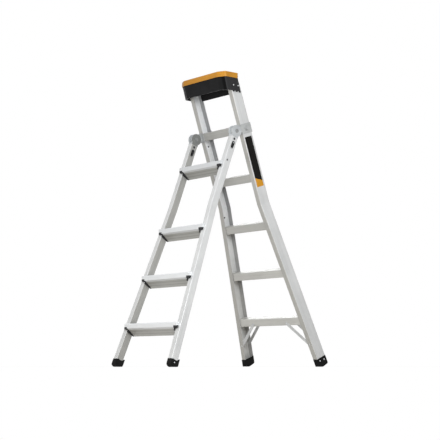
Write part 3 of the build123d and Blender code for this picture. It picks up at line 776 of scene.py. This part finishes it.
# %% Keeping a piece
def keep(work, name, body, material, stands_for=()):
    """Turns a bmesh into a piece of the ladder."""
    mesh = bpy.data.meshes.new(name)
    work.to_mesh(mesh)
    work.free()
    mesh.materials.append(material)
    piece = bpy.data.objects.new(name, mesh)
    scene.collection.objects.link(piece)
    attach(piece, body)
    if stands_for:
        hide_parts(*stands_for)
    print("piece", name, len(mesh.polygons), "faces on", body)


print("packed nodes before any piece is added", len(nodes))

# %% [markdown]
# A plain film is stuck on the right rear rail: black with an amber end, cut at a slant. A film is a
# flat outline with rounded corners and hardly any thickness. It is drawn as one face, its corners
# are bevelled as vertices, and the face is extruded by 0.15 mm, which still passes under the sliding
# collar.

# %% Label films
def rounded_slab(work, outline, corner):
    """One face with rounded corners, extruded; gives the points of the new face, not moved yet."""
    face = work.faces.new([work.verts.new(point) for point in outline])
    bmesh.ops.bevel(
        work, geom=list(face.verts), offset=corner, offset_type="OFFSET", affect="VERTICES",
        segments=4, profile=0.5, material=-1,
    )
    lifted = bmesh.ops.extrude_face_region(work, geom=list(work.faces), use_keep_orig=True)
    return [item for item in lifted["geom"] if isinstance(item, bmesh.types.BMVert)]


film_thickness, film_corner = 0.00015, 0.0015
label_front, label_back = 0.006, 0.056
label_top, amber_starts, label_end, slant = 1.338, 1.103, 1.050, 0.022
films = (
    ("black", "cap_black", (label_top, label_top), (amber_starts - slant, amber_starts)),
    ("amber", "rim_orange", (amber_starts, amber_starts - slant), (label_end, label_end)),
)
for word, slot, (front_top, back_top), (back_end, front_end) in films:
    work = bmesh.new()
    outer = rounded_slab(work, [
        on_rear(rear_half, label_front, front_top), on_rear(rear_half, label_back, back_top),
        on_rear(rear_half, label_back, back_end), on_rear(rear_half, label_front, front_end),
    ], film_corner)
    bmesh.ops.translate(work, verts=outer, vec=(film_thickness, 0, 0))
    bmesh.ops.recalc_face_normals(work, faces=work.faces)
    keep(work, f"label_{word}_right", "rear_section", finish[f"film_{word}"])

# %% [markdown]
# Rivets, screws, pins, plugs and studs are all round. A lathe is the natural tool for them: half an
# outline is drawn as a line of points, and a spin takes it once round the axis. The spin's seam and
# the points on the axis are merged afterwards.

# %% Lathe
touching = 1e-6


def lathe(name, outline, steps=24):
    """Mesh spun round Z from an outline of (radius, height) points in millimetres."""
    work = bmesh.new()
    points = [work.verts.new((radius / 1000, 0, height / 1000)) for radius, height in outline]
    lines = [work.edges.new(pair) for pair in zip(points, points[1:])]
    bmesh.ops.spin(
        work, geom=points + lines, cent=(0, 0, 0), axis=(0, 0, 1), angle=2 * pi, steps=steps,
        use_merge=True,
    )
    bmesh.ops.remove_doubles(work, verts=work.verts, dist=touching)
    bmesh.ops.recalc_face_normals(work, faces=work.faces)
    mesh = bpy.data.meshes.new(name)
    work.to_mesh(mesh)
    work.free()
    print("lathed", name, len(mesh.polygons), "faces")
    return mesh


rivet = lathe("blind_rivet", [
    (0, 0.9), (0.9, 0.85), (1.0, 0.5), (1.25, 0.5), (1.3, 1.45), (1.6, 1.7), (2.4, 1.6), (3.3, 1.2),
    (3.85, 0.6), (4.0, 0.2), (4.0, 0), (0, 0),
])

# %% [markdown]
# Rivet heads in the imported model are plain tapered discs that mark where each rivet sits. A blind
# rivet has a domed flange and a hole with the snapped mandrel in it. Copies of the lathed one are
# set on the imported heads: the base of each head is the larger of its two flat faces, and the head
# faces the other way.

# %% Blind rivets
flat_within = radians(2)
facet_sides = 6


def seats(name):
    """Where the heads of a packed group sit: the middle of each base, and the way the head faces."""
    work = bmesh.new()
    work.from_mesh(nodes[name].data)
    bmesh.ops.remove_doubles(work, verts=work.verts, dist=touching)
    bmesh.ops.dissolve_limit(work, angle_limit=flat_within, verts=work.verts, edges=work.edges)
    discs = [face for face in work.faces if len(face.verts) > facet_sides]
    discs.sort(key=lambda face: face.calc_area())
    found = [(face.calc_center_median(), -face.normal) for face in discs[len(discs) // 2:]]
    work.free()
    return found


def copies(name, shape, places, body, material, stands_for=()):
    """One piece made of copies of a shape, each on a place that faces its own way."""
    work = bmesh.new()
    for point, way in places:
        turn = way.to_track_quat("Z", "Y").to_matrix().to_4x4()
        copy = shape.copy()
        copy.transform(Matrix.Translation(point) @ turn)
        work.from_mesh(copy)
        bpy.data.meshes.remove(copy)
    keep(work, name, body, material, stands_for)


riveted = (
    ("brace_rivets", "rear_section"), ("rear_foot_rivets", "rear_section"),
    ("cap_rivets", "rear_section"), ("front_foot_rivets", "front_section"),
)
for node, body in riveted:
    copies(f"blind_{node}", rivet, seats(node), body, finish["zinc"], (node,))

# %% [markdown]
# The hinge heads are held by button screws with a hexagon socket. The lathe makes a round socket
# first. A hexagon is then a matter of moving the points of that socket in or out, because a flat
# side at an angle from its middle lies further out by one over the cosine.

# %% Button screws
on_axis = 0.0001
sector = radians(60)


def hexagon(mesh, reach, flat):
    """Moves the points within reach of the axis onto a hexagon, flat from its middle to a side."""
    for point in mesh.vertices:
        radius = point.co.xy.length
        if on_axis < radius < reach:
            angle = point.co.xy.angle_signed(Vector((1, 0))) + 2 * pi
            turn = (angle + sector / 2) % sector - sector / 2
            point.co.xy *= flat / cos(turn) / radius


screw = lathe("button_screw", [
    (0, 0.6), (2.0, 0.6), (2.05, 1.7), (3.0, 1.8), (4.2, 1.5), (5.0, 0.9), (5.4, 0.7), (6.8, 0.6),
    (7.0, 0.3), (7.0, 0), (0, 0),
])
hexagon(screw, reach=0.0023, flat=0.0019)
copies(
    "button_head_screws", screw, seats("head_screws"), "front_section",
    finish["dark"], ("head_screws",),
)

# %% [markdown]
# A hinge pin has a broad head with the same kind of socket at each end. It is lathed as a whole: the
# outline of one head, then the same outline turned round at the far end of the shank.

# %% Hinge pins
pin_head = [
    (0, 1.8), (3.4, 1.8), (3.5, 3.5), (4.6, 4.0), (8.6, 4.0), (10.2, 3.4), (11, 2.3), (11, 0), (6, 0),
]
shank_mm, head_height = 34.6, 0.004
far_head = [(radius, -shank_mm - height) for radius, height in reversed(pin_head)]
for side, word in sides:
    low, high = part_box(f"hinge_pin_{word}")
    end = Vector((high.x if side > 0 else low.x, (low.y + high.y) / 2, (low.z + high.z) / 2))
    shape = lathe(f"pin_{word}", pin_head + far_head, steps=36)
    hexagon(shape, reach=0.0038, flat=0.0034)
    place = (end - Vector((side * head_height, 0, 0)), Vector((side, 0, 0)))
    copies(
        f"socket_pin_{word}", shape, [place], "carriage", finish["pin"],
        (f"hinge_pin_{word}",),
    )

# %% [markdown]
# Round plastic plugs close the holes that were drilled for assembly: one on the outside of each
# front rail near the top tread, and two inside each rear rail. A plug is one more turn of the lathe,
# a low dome with a rounded rim. The lower wall of a rear rail is flared, so its plug is turned out by
# the same angle.

# %% Plugs
plug = lathe("plug", [
    (0, 1.2), (2.0, 1.15), (3.6, 0.95), (4.7, 0.55), (5.2, 0.15), (5.2, 0), (0, 0),
])
front_half = 0.198
front_plug, upper_plug, lower_plug = (0.016, 1.213), (0.042, 1.327), (0.033, 0.902)
below_bend = 0.053
upper_half = rear_half - rail_wall
flared_half = rear_half + below_bend * tan(rear_flare) - rail_wall / cos(rear_flare)
rear_places, front_places = [], []
for side in (1, -1):
    front_places.append((on_front(side * front_half, *front_plug), Vector((side, 0, 0))))
    rear_places.append((on_rear(side * upper_half, *upper_plug), Vector((-side, 0, 0))))
    inwards = Vector((
        -side * cos(rear_flare),
        sin(rear_flare) * sin(rear_lean),
        -sin(rear_flare) * cos(rear_lean),
    ))
    rear_places.append((on_rear(side * flared_half, *lower_plug), inwards))
copies("plugs_front", plug, front_places, "front_section", finish["liner"])
copies("plugs_rear", plug, rear_places, "rear_section", finish["liner"])

# %% [markdown]
# The orange rim has a skirt that folds down over the tray. It is a thin wall round the tray's
# outline: the outline is drawn as one face, its corners are rounded, and the face is extruded
# downwards. The two flat faces are removed, so that only the wall is left, and its lower edge is
# drawn in to follow the tray's taper. Solidify gives it thickness.

# %% Skirt of the rim
rim_bottom, skirt_height, skirt_wall = 1.607, 0.011, 0.0012
rim_half, rim_front, rim_back = 0.1985, -0.1262, -0.0106
chamfer_across, chamfer_deep, skirt_corner = 0.046, 0.022, 0.009
front_taper, back_taper, side_taper = 0.0027, 0.0037, 0.0007
outline = [
    (-rim_half, rim_back), (-rim_half, rim_front + chamfer_deep),
    (chamfer_across - rim_half, rim_front), (rim_half - chamfer_across, rim_front),
    (rim_half, rim_front + chamfer_deep), (rim_half, rim_back),
]
work = bmesh.new()
lower = rounded_slab(work, [(x, y, rim_bottom) for x, y in outline], skirt_corner)
for point in lower:
    deep = front_taper if point.co.y < rim_front / 2 else -back_taper
    across = -side_taper if point.co.x > 0 else side_taper
    point.co += Vector((across, deep, -skirt_height))
flat = [face for face in work.faces if len(face.verts) > 4]
bmesh.ops.delete(work, geom=flat, context="FACES_ONLY")
bmesh.ops.recalc_face_normals(work, faces=work.faces)
bmesh.ops.solidify(work, geom=list(work.faces), thickness=skirt_wall)
keep(work, "rim_skirt", "rear_section", finish["rim"])

# %% [markdown]
# A pale stud marks where a thumb pulls each release slide. It is lathed like the plugs, sits a
# little above the middle of the slide's face, and rides on the slide.

# %% Studs of the release slides
stud = lathe("stud", [(0, 0.9), (1.6, 1.0), (2.6, 1.2), (3.2, 0.9), (3.4, 0.3), (3.4, 0), (0, 0)])
stud_back, stud_up = 0.0026, 0.007
for side, word in sides:
    low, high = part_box(f"release_slide_{word}")
    middle = (low + high) / 2
    face_x = side * max(abs(low.x), abs(high.x))
    place = (Vector((face_x, middle.y + stud_back, middle.z + stud_up)), Vector((side, 0, 0)))
    copies(f"stud_{word}", stud, [place], f"release_{word}", finish["knob"])

# %% [markdown]
# The side walls of the tray end in short teeth that grip the rails. A tooth is a bevelled block that
# narrows towards its tip: a cube is scaled, the points at its lower end are drawn in, and all its
# edges are rounded by one bevel.

# %% Teeth of the tray
tooth_size, tooth_tip, tooth_round = (0.0042, 0.014, 0.009), (0.7, 0.72, 1), 0.0009
tooth_places, tooth_across = (-0.038, -0.016, 0.006), 0.1894
cap_edge, tooth_drop = 1.525, 0.0012
for side, word in sides:
    work = bmesh.new()
    for place in tooth_places:
        made = bmesh.ops.create_cube(work, size=1)
        bmesh.ops.scale(work, verts=made["verts"], vec=tooth_size)
        tip = [point for point in made["verts"] if point.co.z < 0]
        bmesh.ops.scale(work, verts=tip, vec=tooth_tip)
        edges = list({edge for point in made["verts"] for edge in point.link_edges})
        rounded = bmesh.ops.bevel(
            work, geom=edges, offset=tooth_round, affect="EDGES", segments=2, profile=0.5,
            material=-1,
        )
        tooth = list({point for face in rounded["faces"] for point in face.verts})
        where = (side * tooth_across, place, cap_edge - tooth_drop)
        bmesh.ops.translate(work, verts=tooth, vec=where)
    bmesh.ops.recalc_face_normals(work, faces=work.faces)
    keep(work, f"tray_teeth_{word}", "rear_section", finish["cap"])
